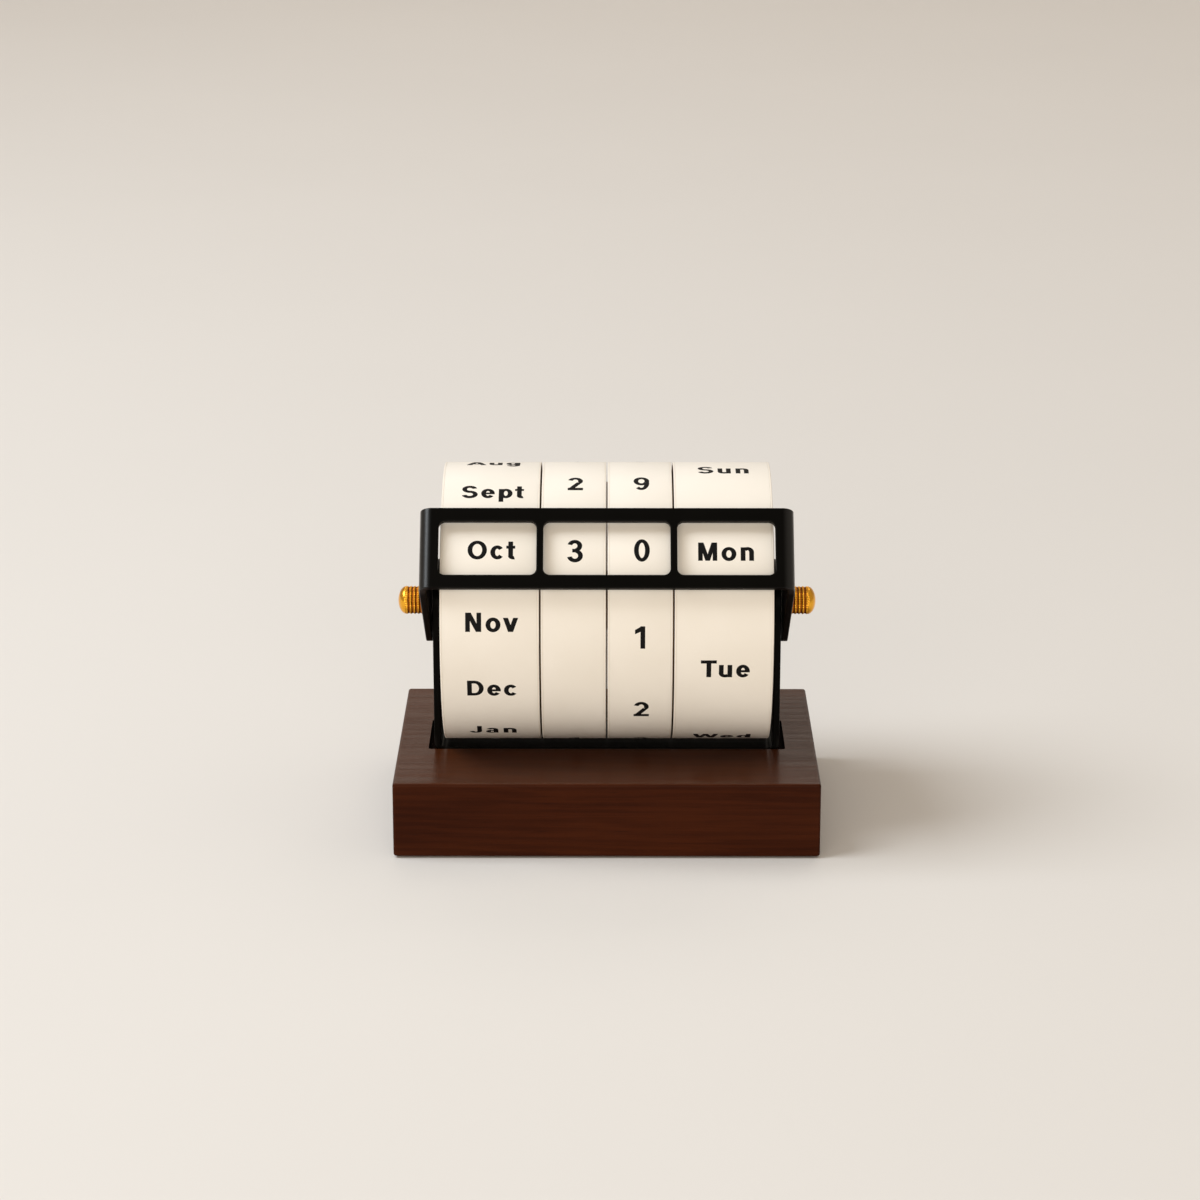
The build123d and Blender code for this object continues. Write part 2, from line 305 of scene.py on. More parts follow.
def dark_wood():
    wood = Finish("dark_wood")
    x, y, z = wood.place()
    drift = wood.noise(x * 0.010, y * 0.05, z * 0.05, detail=3.0)
    from_pith = ((y + 70) ** 2 + (z + 55) ** 2) ** 0.5 + drift * 14
    growth = (from_pith * 2.3).math("SINE") * 0.5 + 0.5
    fibre = wood.noise(x * 0.045, y * 1.9, z * 1.9, detail=4.0, roughness=0.65)
    cloud = wood.noise(x * 0.020, y * 0.08, z * 0.08, detail=3.0)
    pores = wood.noise(x * 0.13, y * 4.5, z * 4.5, detail=2.0).rise(0.60, 0.74)
    tone = growth * 0.12 + fibre * 0.50 + cloud * 0.62
    color = wood.mix(tone.rise(0.35, 0.95), (0.0280, 0.0054, 0.0013), (0.0560, 0.0122, 0.0030))
    color = wood.mix(pores * 0.45, color, (0.014, 0.0035, 0.0015))
    below_top = 1 - z.rise(RECESS_TOP - 0.5, RECESS_TOP - 0.1)
    within_ends = 1 - x.math("ABSOLUTE").rise(RECESS_END + 0.1, RECESS_END + 0.4)
    within_sides = 1 - y.math("ABSOLUTE").rise(RECESS_SIDE + 0.1, RECESS_SIDE + 0.4)
    above_foot = z.rise(DARK_FROM, DARK_FROM + 1)
    in_recess = below_top * within_ends * within_sides * above_foot
    # Painted shade: inside the recess, the colour is darkened to nearly black.
    color = wood.mix(in_recess * 0.9, color, (0.0015, 0.0010, 0.0008))
    upper = z.rise(RECESS_TOP - 0.30, RECESS_TOP - 0.05) * (1 - in_recess)
    # Painted highlight: the top face's colour is made lighter, standing in for the room's light on it.
    color = wood.mix(upper * 0.15, color, (0.150, 0.046, 0.011))
    streak = wood.noise(x * 0.03, y * 0.7, z * 0.7, detail=3.0).rise(0.35, 0.65)
    height = fibre * 0.006 - pores * 0.008
    wood.surface(
        base_color=color,
        roughness=0.32 + fibre * 0.07 + pores * 0.10 + in_recess * 0.5,
        normal=wood.bump(height, 0.5),
        specular_ior_level=0.05,
        coat_weight=upper * (0.30 + streak * 0.24),
        coat_roughness=0.25,
    )
    return wood


dress("wood_base", dark_wood())
print("wood on wood_base")

# %% [markdown]
# ## Black powder coat
#
# Powder coat flows as it bakes, so close up it is never flat: it has a fine orange-peel ripple,
# and years of handling leave it a little uneven. Satin black shows almost no colour of its own. All
# that the eye gets is the long soft highlight on each bend, so roughness and ripple matter more
# than colour. The bezel's two bends are a little glossier than its faces.

# %% Make the powder coat
BEZEL_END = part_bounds("window_bezel")[1].x / MM


def from_axle(y, z):
    """Distance from the axle in millimetres, as a wire."""
    return (y ** 2 + (z - AXLE_Z / MM) ** 2) ** 0.5


def powder_coat():
    coat = Finish("black_powder_coat")
    x, y, z = coat.place()
    peel = coat.noise(x * 1.6, y * 1.6, z * 1.6, detail=2.0)
    grit = coat.noise(x * 7, y * 7, z * 7, detail=1.0)
    handling = coat.noise(x * 0.06, y * 0.06, z * 0.06, detail=3.0)
    near_end = x.math("ABSOLUTE").rise(BEZEL_END - 3.6, BEZEL_END - 1.6)
    bend = near_end * from_axle(y, z).rise(DRUM_RADIUS / MM - 2, DRUM_RADIUS / MM + 2)
    coat.surface(
        base_color=coat.mix(handling, (0.0014, 0.0012, 0.0009), (0.0024, 0.0021, 0.0016)),
        roughness=0.27 + handling * 0.08 + grit * 0.04,
        normal=coat.bump(peel * 0.014 + grit * 0.003, 0.5),
        specular_ior_level=0.05,
        coat_weight=bend * 0.80,
        coat_roughness=0.30,
    )
    return coat


coat = powder_coat()
dress("yoke_frame", coat)
dress("window_bezel", coat)
print("powder coat on the yoke and the bezel")

# %% [markdown]
# ## The drums' cores
#
# Each drum is a thick wooden disc. Its rim is painted cream, and the paint stops raggedly just
# round the corner, because the disc was painted on a spindle and its faces were left bare. One
# finish does both: the distance from the axle says whether a point is on the rim or on a face.

# %% Paint the rim and leave the faces bare
def drum_core():
    core = Finish("drum_core")
    x, y, z = core.place()
    ragged = core.noise(x * 0.6, y * 0.6, z * 0.6, detail=3.0)
    paint = (from_axle(y, z) + ragged * 0.5).rise(DRUM_RADIUS / MM - 0.75, DRUM_RADIUS / MM - 0.45)
    fibre = core.noise(x * 1.4, y * 0.10, z * 1.4, detail=4.0)
    bare = core.mix(fibre.rise(0.25, 0.75), (0.115, 0.052, 0.020), (0.245, 0.128, 0.058))
    cream = core.mix(ragged, (0.80, 0.735, 0.645), (0.86, 0.80, 0.72))
    core.surface(
        base_color=core.mix(paint, bare, cream),
        roughness=0.72 - paint * 0.30,
        normal=core.bump(fibre * 0.03 * (1 - paint) + ragged * 0.004, 0.6),
    )
    return core


core = drum_core()
for drum in DRUMS:
    dress(drum + "_core", core)
print("drum cores dressed")

# %% [markdown]
# ## The printed bands
#
# A band of satin synthetic paper is wrapped round each core and glued. It sits just inside the
# disc's rim, so a thin bright line of painted wood shows at each side. The band is one outline
# swept round the axle, with eased edges to catch the light. Its two ends meet in a butt seam on the
# side away from the reader's row, which is drawn in the finish, because it is only a hairline.

# %% Make the band's finish
SEAM_ANGLE = READING_ANGLE + math.radians(180)
INK_THICKNESS = 0.015 * MM
BAND_THICKNESS = 0.23 * MM      # a hair thinner than the part, which leaves room for ink and glue
BAND_EDGE = 0.07 * MM


def printed_band():
    band = Finish("printed_band")
    x, y, z = band.place()
    fibre = band.noise(x * 2.5, y * 2.5, z * 2.5, detail=4.0, roughness=0.6)
    cloud = band.noise(x * 0.045, y * 0.045, z * 0.045, detail=3.0)
    around = (y * -math.cos(SEAM_ANGLE) + (z - AXLE_Z / MM) * math.sin(SEAM_ANGLE)) / (DRUM_RADIUS / MM)
    seam = around.rise(0.999993, 0.999998)
    tone = cloud * 0.75 + fibre * 0.25
    color = band.mix(tone.rise(0.3, 0.7), (0.830, 0.780, 0.705), (0.855, 0.806, 0.735))
    band.surface(
        base_color=band.mix(seam * 0.7, color, (0.30, 0.22, 0.15)),
        roughness=0.42 + fibre * 0.10,
        normal=band.bump(fibre * 0.004 + cloud * 0.02 - seam * 0.05, 0.5),
    )
    return band


# %% Wrap the bands
band_finish = printed_band()


def make_band(drum):
    node = drum + "_band"
    low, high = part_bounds(node)
    outer = (high.z - low.z) / 2 - INK_THICKNESS
    inner = outer - BAND_THICKNESS
    corners = [(low.x, inner), (high.x, inner), (high.x, outer), (low.x, outer)]
    band = turned(drum + "_printed_band", eased(corners, BAND_EDGE, steps=3), turns=384)
    band.data.materials.append(band_finish.material)
    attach(band, drum + "_drum")
    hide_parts(node)
    return band


for drum in DRUMS:
    print("band", make_band(drum).name)

# %% [markdown]
# ## Drawing the letters
#
# The lettering is a plain bold sans drawn for this calendar. A stencil cutter would build it from a
# few strokes, and so does this cell: upright stems, level bars, slanted strokes and parts of an
# oval ring. Everything is measured in capital heights, so one drawing serves every size. A stroke
# is a list of simple outlines, and strokes are added together with a plus sign.

# %% Name the strokes
STEM = 0.246            # width of an upright stroke, in capital heights
BEAM = 0.182            # height of a level stroke
MIDLINE = 0.735         # top of a small letter
DROP = -0.287           # bottom of a small letter's tail
TRACKING = 0.085        # extra room after each letter
RING_STEP = math.radians(7.5)
LEAST_STEPS = 6


def stem(right, low, high, width=STEM):
    """An upright stroke that ends at its right-hand side."""
    return [[(right - width, low), (right, low), (right, high), (right - width, high)]]


def bar(left, right, y, height=BEAM):
    """A level stroke."""
    return [[(left, y), (right, y), (right, y + height), (left, y + height)]]


def slant(foot, foot_y, head, head_y, width):
    """A slanted stroke that is cut level at both ends."""
    return [[(foot, foot_y), (foot + width, foot_y), (head + width, head_y), (head, head_y)]]


def ring(left, low, right, high, start=0, end=360, width=STEM, height=BEAM):
    """Part of an oval ring from one angle to another, as outlines of half a turn at most."""
    middle_x, middle_y = (left + right) / 2, (low + high) / 2
    wide, tall = (right - left) / 2, (high - low) / 2
    count = math.ceil((end - start) / 180)
    outlines = []
    for i in range(count):
        first = math.radians(start + (end - start) * i / count)
        sweep = math.radians((end - start) / count)
        steps = max(LEAST_STEPS, round(sweep / RING_STEP))
        angles = [first + sweep * step / steps for step in range(steps + 1)]
        outer = [(middle_x + wide * math.cos(a), middle_y + tall * math.sin(a)) for a in angles]
        inner = [
            (middle_x + (wide - width) * math.cos(a), middle_y + (tall - height) * math.sin(a))
            for a in reversed(angles)
        ]
        outlines.append(outer + inner)
    return outlines


def half_turned(strokes, middle_x, middle_y):
    """The same strokes turned upside down about a point."""
    return [[(2 * middle_x - x, 2 * middle_y - y) for x, y in outline] for outline in strokes]


# %% Draw each letter: how far it moves the pen, and its strokes
GLYPHS = {
    "A": (1.009, slant(-0.02, 0, 0.365, 1, 0.28) + slant(0.75, 0, 0.365, 1, 0.28) + bar(0.22, 0.78, 0.20)),
    "D": (1.009, stem(0.345, 0, 1) + ring(0.02, 0, 0.955, 1, -90, 90)
          + bar(0.10, 0.49, 0) + bar(0.10, 0.49, 1 - BEAM)),
    "F": (0.853, stem(0.345, 0, 1) + bar(0.10, 0.81, 1 - BEAM) + bar(0.10, 0.73, 0.42)),
    "J": (0.777, stem(0.680, 0.3, 1) + ring(0.02, -0.02, 0.680, 0.62, 190, 360)),
    "M": (1.164, stem(0.330, 0, 1, 0.235) + stem(1.075, 0, 1, 0.235)
          + slant(0.465, 0, 0.14, 1, 0.235) + slant(0.465, 0, 0.79, 1, 0.235)),
    "N": (1.009, stem(0.335, 0, 1, 0.24) + stem(0.915, 0, 1, 0.24) + slant(0.64, 0, 0.11, 1, 0.27)),
    "O": (1.087, ring(0.045, -0.018, 1.04, 1.018)),
    "S": (0.932, ring(0.065, 0.41, 0.855, 1.018, 15, 270) + ring(0.045, -0.018, 0.88, 0.59, -165, 90)),
    "T": (0.780, bar(0.02, 0.84, 1 - BEAM) + stem(0.5575, 0, 1)),
    "W": (1.319, slant(0.22, 0, -0.01, 1, 0.25) + slant(0.22, 0, 0.53, 1, 0.25)
          + slant(0.84, 0, 0.53, 1, 0.25) + slant(0.84, 0, 1.08, 1, 0.25)),
    "a": (0.777, stem(0.675, 0, 0.5, 0.245) + ring(0.05, 0.26, 0.675, 0.75, 0, 165, height=0.16)
          + ring(0.030, -0.015, 0.61, 0.455, 90, 310, height=0.15) + bar(0.30, 0.50, 0.305, 0.15)),
    "b": (0.853, stem(0.340, 0, 1) + ring(0.115, -0.015, 0.81, 0.75)),
    "c": (0.777, ring(0.045, -0.015, 0.76, 0.75, 38, 322)),
    "d": (0.853, stem(0.776, 0, 1) + ring(0.045, -0.015, 0.742, 0.75)),
    "e": (0.777, ring(0.040, -0.015, 0.745, 0.75, 0, 325) + bar(0.13, 0.744, 0.30, 0.135)),
    "g": (0.853, stem(0.776, -0.03, MIDLINE) + ring(0.045, 0, 0.742, 0.75)
          + ring(0.07, DROP - 0.015, 0.776, 0.25, 195, 360)),
    "h": (0.853, stem(0.340, 0, 1) + ring(0.12, 0.20, 0.776, 0.75, 0, 140) + stem(0.776, 0, 0.48)),
    "i": (0.388, stem(0.322, 0, MIDLINE) + stem(0.322, 0.835, 1)),
    "l": (0.388, stem(0.322, 0, 1)),
    "n": (0.853, stem(0.340, 0, MIDLINE) + ring(0.12, 0.20, 0.776, 0.75, 0, 140) + stem(0.776, 0, 0.48)),
    "o": (0.853, ring(0.045, -0.015, 0.81, 0.75)),
    "p": (0.853, stem(0.340, DROP, MIDLINE) + ring(0.115, -0.015, 0.81, 0.75)),
    "r": (0.544, stem(0.340, 0, MIDLINE) + ring(0.12, 0.22, 0.76, 0.75, 60, 140)),
    "t": (0.465, stem(0.350, 0.16, 0.97) + bar(0.00, 0.46, MIDLINE - 0.16, 0.16)
          + ring(0.095, -0.015, 0.66, 0.35, 180, 285)),
    "u": (0.853, stem(0.776, 0, MIDLINE) + stem(0.335, 0.25, MIDLINE)
          + ring(0.080, -0.015, 0.737, 0.52, 180, 320)),
    "v": (0.777, slant(0.26, 0, 0, MIDLINE, 0.26) + slant(0.26, 0, 0.525, MIDLINE, 0.26)),
    "y": (0.777, slant(0.26, 0, 0, MIDLINE, 0.26) + slant(0.156, DROP, 0.525, MIDLINE, 0.26)
          + bar(0.03, 0.30, DROP, 0.155)),
}

# the digits are set larger, so the same width of pen is a smaller share of their height
PEN = {"width": 0.206, "height": 0.165}
six = ring(0.05, -0.018, 0.735, 0.665, **PEN) + ring(0.05, -0.018, 0.745, 1.018, 48, 190, **PEN)
GLYPHS.update({
    "0": (0.777, ring(0.05, -0.018, 0.73, 1.018, **PEN)),
    "1": (0.777, stem(0.535, 0, 1, 0.205)
          + [[(0.095, 0.65), (0.34, 0.76), (0.45, 1), (0.37, 1), (0.095, 0.84)]]),
    "2": (0.777, ring(0.055, 0.39, 0.71, 1.018, -28, 165, **PEN) + slant(0.05, 0.08, 0.445, 0.60, 0.247)
          + bar(0.05, 0.72, 0, 0.172)),
    "3": (0.777, ring(0.06, 0.450, 0.70, 1.018, -80, 165, **PEN)
          + ring(0.045, -0.018, 0.73, 0.58, -168, 80, **PEN) + bar(0.27, 0.46, 0.432, 0.165)),
    "4": (0.777, stem(0.648, 0, 1, 0.205) + bar(0.03, 0.755, 0.20, 0.172) + slant(0.03, 0.29, 0.40, 1, 0.24)),
    "5": (0.777, bar(0.15, 0.69, 1 - 0.172, 0.172) + slant(0.08, 0.40, 0.145, 1, 0.20)
          + ring(0.05, -0.018, 0.73, 0.66, -168, 130, **PEN)),
    "6": (0.777, six),
    "7": (0.777, bar(0.05, 0.72, 1 - 0.172, 0.172) + slant(0.19, 0, 0.495, 0.92, 0.225)),
    "8": (0.777, ring(0.08, 0.445, 0.695, 1.018, **PEN) + ring(0.05, -0.018, 0.725, 0.61, **PEN)),
    "9": (0.777, half_turned(six, 0.39, 0.5)),
})
print("letters and digits drawn:", len(GLYPHS))

# %% [markdown]
# ## Cutting the letters and wrapping them
#
# A letter's strokes overlap, so they are first merged into one flat mesh. Level cuts every half
# millimetre then let the flat letter bend round the drum without corners. Each letter becomes a
# thin closed film of ink whose face stands just proud of the band and whose back lies within it,
# as printed ink does. Geometry stays sharp at any distance, and it turns with its drum.

# %% Merge the strokes of one letter
CUT_SPACING = 0.5 * MM
CONVEX_HULL = 0         # fill the whole hull; the triangles outside every stroke are dropped below
SNAP = 0.00001          # in capital heights


def merged(outlines, spacing):
    """Corners and triangles of overlapping outlines, cut by level lines at a spacing."""
    points, cuts, faces = [], [], []
    for outline in outlines:
        area = sum(a[0] * b[1] - b[0] * a[1] for a, b in zip(outline, outline[1:] + outline[:1]))
        faces.append(list(range(len(points), len(points) + len(outline))))
        points += outline if area > 0 else outline[::-1]
    lowest = min(y for _, y in points)
    highest = max(y for _, y in points)
    left, right = min(x for x, _ in points) - 0.1, max(x for x, _ in points) + 0.1
    for i in range(1, math.ceil((highest - lowest) / spacing)):
        level = lowest + i * spacing
        cuts.append((len(points), len(points) + 1))
        points += [(left, level), (right, level)]
    flat = [Vector(point) for point in points]
    corners, _, triangles, _, _, sources = delaunay_2d_cdt(flat, cuts, faces, CONVEX_HULL, SNAP, True)
    return corners, [triangle for triangle, source in zip(triangles, sources) if source]


# %% Wrap one word round a drum
def add_word(builder, word, height, middle_x, row_angle):
    """Add a word of closed ink films to a mesh, centred on a drum at an angle from the front."""
    width = sum(GLYPHS[letter][0] + TRACKING for letter in word) - TRACKING
    pen = -width / 2
    for letter in word:
        advance, strokes = GLYPHS[letter]
        corners, triangles = merged(strokes, CUT_SPACING / height)
        used = {i for triangle in triangles for i in triangle}
        layers = []
        for radius in (DRUM_RADIUS, DRUM_RADIUS - 2 * INK_THICKNESS):
            places = [
                about_axle(
                    middle_x + (pen + x) * height,
                    radius,
                    row_angle + (y - 0.5) * height / DRUM_RADIUS,
                )
                for x, y in corners
            ]
            layers.append({i: builder.verts.new(places[i]) for i in used})
        face, back = layers
        sides = {}      # a dict, so that the edges keep their order
        for a, b, c in triangles:
            builder.faces.new((face[a], face[b], face[c]))
            builder.faces.new((back[c], back[b], back[a]))
            for edge in ((a, b), (b, c), (c, a)):
                sides[edge] = edge
        for a, b in sides:
            if (b, a) not in sides:
                builder.faces.new((face[b], face[a], back[a], back[b]))
        pen += advance + TRACKING
    return width * height


# %% Set the rows of every drum
WORD_HEIGHT = 5.7 * MM
DIGIT_HEIGHT = 6.8 * MM
PRINT_SHIFT = 0.45 * MM     # the print sits a little to the right of the band's middle
MONTHS = "Jan Feb Mar Apr May June July Aug Sept Oct Nov Dec".split()
WEEKDAYS = "Sun Mon Tue Wed Thu Fri Sat".split()
TENS = ["3", "", "", "1", "2", "3", "", "", "1", "2"]

# each drum: its rows going down the front, the row in the window, the height, degrees to a row,
# and how many degrees the print was glued on too high
ROWS = {
    "month": (MONTHS, MONTHS.index("Oct"), WORD_HEIGHT, 29.4, 0.6),
    "tens": (TENS, 0, DIGIT_HEIGHT, 35.5, 0.2),
    "units": ("0123456789", 0, DIGIT_HEIGHT, 35.5, 0.5),
    "weekday": (WEEKDAYS, WEEKDAYS.index("Mon"), WORD_HEIGHT, 48.6, 0.0),
}


# %% Print the drums
def black_ink():
    ink = Finish("black_ink")
    x, y, z = ink.place()
    speckle = ink.noise(x * 6, y * 6, z * 6, detail=2.0)
    ink.surface(
        base_color=ink.mix(speckle, (0.0030, 0.0030, 0.0032), (0.0055, 0.0050, 0.0050)),
        roughness=0.50 + speckle * 0.12,
        specular_ior_level=0.10,
    )
    return ink


ink_finish = black_ink()


def make_lettering(drum):
    rows, shown, height, pitch, raised = ROWS[drum]
    builder = bmesh.new()
    widest = 0
    half = len(rows) // 2
    for i, word in enumerate(rows):
        below = (i - shown + half) % len(rows) - half
        row_angle = READING_ANGLE + math.radians(raised - below * pitch)
        width = add_word(builder, word, height, middle(drum + "_band").x + PRINT_SHIFT, row_angle)
        widest = max(widest, width)
    lettering = make_object(drum + "_lettering", builder)
    lettering.data.materials.append(ink_finish.material)
    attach(lettering, drum + "_drum")
    print(lettering.name, "widest word %.1f mm" % (widest / MM))


for drum in DRUMS:
    make_lettering(drum)

# %% [markdown]
# ## Turned brass
#
# The thumb nuts are turned from brass bar, and then lacquered, which makes them a deep gold. Four
# round grooves part five ribs, and a straight knurl of fine teeth runs along the ribs for grip.
# The end is a polished dome. The knurl has to be in the mesh: it breaks up the outline and the
# highlight, which bump in the finish alone can't do.

# %% Make the brass
def lacquered_brass():
    brass = Finish("lacquered_brass")
    x, y, z = brass.place()
    off_axle = from_axle(y, z)
    polish = brass.noise(x * 9, off_axle * 9, 0.0, detail=2.0)
    tarnish = brass.noise(x * 0.7, y * 0.7, z * 0.7, detail=3.0)
    on_dome = x.math("ABSOLUTE").rise(NUT_SHOULDER / MM - 0.1, NUT_SHOULDER / MM + 0.3)
    crest = off_axle.rise(NUT_RADIUS / MM - 0.26, NUT_RADIUS / MM - 0.02)
    clean = (crest + on_dome).math("MINIMUM", 1.0)
    bright = brass.mix(tarnish, (0.88, 0.400, 0.028), (0.97, 0.500, 0.052))
    brass.surface(
        base_color=brass.mix(clean, (0.30, 0.075, 0.006), bright),
        metallic=1.0,
        roughness=0.24 - on_dome * 0.03 + polish * 0.06,
        normal=brass.bump(polish * 0.003, 0.5),
    )
    return brass


# %% Take the nut's sizes from the parts
nut_low, nut_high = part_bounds("thumb_nut_right")
NUT_START = nut_low.x
NUT_END = nut_high.x
NUT_RADIUS = (nut_high.z - nut_low.z) / 2
NUT_SHOULDER = NUT_END - 2.4 * MM
NUT_BORE_END = NUT_START + 5.2 * MM
NUT_BORE_RADIUS = 2.05 * MM
GROOVE_COUNT = 4
GROOVE_FIRST = NUT_START + 0.9 * MM
GROOVE_PITCH = (NUT_SHOULDER - GROOVE_FIRST - 0.34 * MM) / (GROOVE_COUNT - 0.5)
GROOVE_RADIUS = 0.36 * MM
GROOVE_DEPTH = 0.55 * GROOVE_RADIUS
GROOVE_ROUNDING = 0.8   # below 1 gives steeper sides and a flatter floor
GROOVE_LIP = 0.03 * MM
FACE_CHAMFER = (0.2 * MM, 0.25 * MM)    # along the axle, and in from the rim
DOME_NECK = 0.12 * MM
KNURL_TEETH = 44
KNURL_DEPTH = 0.13 * MM
print("nut %.2f mm long, %.2f mm across" % ((NUT_END - NUT_START) / MM, 2 * NUT_RADIUS / MM))


# %% Turn and knurl a nut
GROOVE_STEPS = 12
DOME_STEPS = 16


def nut_outline():
    """Half of the nut's section, as points of (x, distance from the axle)."""
    points = [(NUT_BORE_END, 0), (NUT_BORE_END, NUT_BORE_RADIUS), (NUT_START, NUT_BORE_RADIUS)]
    points += [(NUT_START, NUT_RADIUS - FACE_CHAMFER[1]), (NUT_START + FACE_CHAMFER[0], NUT_RADIUS)]
    for i in range(GROOVE_COUNT):
        middle_x = GROOVE_FIRST + i * GROOVE_PITCH
        for step in range(GROOVE_STEPS + 1):
            turn = math.pi * step / GROOVE_STEPS
            points.append((
                middle_x - GROOVE_RADIUS * math.cos(turn),
                NUT_RADIUS - GROOVE_DEPTH * math.sin(turn) ** GROOVE_ROUNDING - GROOVE_LIP,
            ))
        if i + 1 < GROOVE_COUNT:
            points.append((middle_x + GROOVE_PITCH / 2, NUT_RADIUS))
    dome = NUT_END - NUT_SHOULDER
    points.append((NUT_SHOULDER - DOME_NECK, NUT_RADIUS - 0.02 * MM))
    for step in range(DOME_STEPS + 1):
        turn = math.pi / 2 * step / DOME_STEPS
        points.append((NUT_SHOULDER + dome * math.sin(turn), (NUT_RADIUS - 0.05 * MM) * math.cos(turn)))
    return points


def knurl(x, radius, angle):
    """Cut fine teeth wherever the nut is near its full radius, stopping short of the dome."""
    if radius < NUT_RADIUS * 0.9 or abs(x) > NUT_SHOULDER:
        return 0
    return -KNURL_DEPTH * (0.5 - 0.5 * math.cos(KNURL_TEETH * angle))


brass_finish = lacquered_brass()


def make_nut(side, sign):
    outline = [(sign * x, radius) for x, radius in nut_outline()]
    nut = turned("knurled_nut_" + side, outline, turns=KNURL_TEETH * 8, ripple=knurl)
    nut.data.materials.append(brass_finish.material)
    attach(nut, side + "_nut")
    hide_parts("thumb_nut_" + side)
    print(nut.name, len(nut.data.polygons), "faces")


make_nut("right", 1)
make_nut("left", -1)

# %% [markdown]
# ## Steel, nylon and felt
#
# The hardware is seen only through gaps, yet it is there for whoever takes the calendar apart.
# Zinc plate is pale and slightly blotched, with turning marks round the axle. The disc spring is
# dark blued steel. The washers are white nylon, which is smooth and a little waxy. Thin brown
# fibre discs nearly fill the gaps between the drums, so the gaps look dark with a warm depth.

# %% Make the hardware's finishes
def plain_metal(name, low, high, roughness):
    """A turned metal: tone blotches, and fine rings about the axle."""
    metal = Finish(name)
    x, y, z = metal.place()
    blotch = metal.noise(x * 0.8, y * 0.8, z * 0.8, detail=3.0)
    rings = metal.noise(x * 14, from_axle(y, z) * 14, 0.0, detail=1.0)
    metal.surface(
        base_color=metal.mix(blotch, low, high),
        metallic=1.0,
        roughness=roughness + blotch * 0.12,
        normal=metal.bump(rings * 0.004, 0.5),
    )
    return metal


def white_nylon():
    nylon = Finish("white_nylon")
    x, y, z = nylon.place()
    grain = nylon.noise(x * 3, y * 3, z * 3, detail=2.0)
    nylon.surface(
        base_color=nylon.mix(grain, (0.74, 0.73, 0.69), (0.80, 0.79, 0.76)),
        roughness=0.40 + grain * 0.15,
        normal=nylon.bump(grain * 0.006, 0.5),
    )
    return nylon


def brown_fibre():
    fibre = Finish("brown_fibre")
    x, y, z = fibre.place()
    strands = fibre.noise(x * 2, y * 0.9, z * 0.9, detail=5.0, roughness=0.7)
    fibre.surface(
        base_color=fibre.mix(strands.rise(0.3, 0.7), (0.42, 0.165, 0.045), (0.62, 0.270, 0.080)),
        roughness=0.75,
        normal=fibre.bump(strands * 0.02, 0.5),
    )
    return fibre


zinc = plain_metal("zinc_plate", (0.50, 0.51, 0.52), (0.62, 0.62, 0.61), 0.28)
spring = plain_metal("spring_steel", (0.16, 0.17, 0.20), (0.25, 0.25, 0.27), 0.30)
nylon = white_nylon()
fibre = brown_fibre()
dress("disc_spring", spring)
for gap in ("left", "middle", "right"):
    dress("fibre_disc_" + gap, fibre)
for node in ("yoke_screw_left", "yoke_screw_right", "axle_sleeve"):
    dress(node, zinc)
for side in ("left", "right"):
    dress("clamp_washer_" + side, zinc)
    dress("thrust_washer_" + side, nylon)
    dress("friction_washer_" + side, nylon)
    for drum in DRUMS:
        dress("%s_bush_%s" % (drum, side), nylon)
print("hardware dressed")

# %% [markdown]
# ## The threaded rod
#
# The rod is plain in the middle, where the sleeve runs on it, and threaded at both ends for the
# nuts. A thread is a ridge that climbs one pitch in each turn, so the radius depends on x and on
# the angle together. It is cut into the mesh, since it shows when a nut is unscrewed.

# %% Cut the thread
THREAD_PITCH = 0.7 * MM
THREAD_DEPTH = 0.38 * MM
THREAD_LENGTH = 9 * MM
THREAD_FLANK = 2.4      # the depths that a side of the groove falls in one pitch
RUN_OUT = 1.5 * THREAD_PITCH
STEPS_PER_TURN = 10
ROD_CHAMFER = 0.5 * MM
rod_low, rod_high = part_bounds("axle_rod")
ROD_RADIUS = (rod_high.z - rod_low.z) / 2


def thread(x, radius, angle):
    """Depth of the thread's groove at a place on the rod."""
    from_end = rod_high.x - abs(x)
    if radius < ROD_RADIUS * 0.7 or from_end > THREAD_LENGTH:
        return 0
    turn = (x / THREAD_PITCH - angle / (2 * math.pi)) % 1
    side = min(1, THREAD_FLANK * min(turn, 1 - turn))
    fade = min(1, (THREAD_LENGTH - from_end) / RUN_OUT)
    return -THREAD_DEPTH * side * fade


def rod_outline():
    steps = round(THREAD_LENGTH / (THREAD_PITCH / STEPS_PER_TURN))
    right = [rod_high.x - ROD_CHAMFER - (THREAD_LENGTH - ROD_CHAMFER) * i / steps for i in range(steps + 1)]
    end = [(rod_high.x, 0), (rod_high.x, ROD_RADIUS - ROD_CHAMFER)]
    half = end + [(x, ROD_RADIUS) for x in right]
    return half + [(-x, radius) for x, radius in reversed(half)]


rod = turned("threaded_rod", rod_outline(), turns=48, ripple=thread)
rod.data.materials.append(zinc.material)
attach(rod, "stand")
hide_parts("axle_rod")
print("rod %.1f mm long" % ((rod_high.x - rod_low.x) / MM))

# %% [markdown]
# ## Felt feet
#
# Four felt discs stand a hair out of drilled recesses, so the base doesn't scratch a desk. Felt is
# a soft piece: its edge is rounded and uneven, and its face is matted. The disc is swept about its
# own upright axis, and a little smooth noise pulls its surface in, never out of its recess.

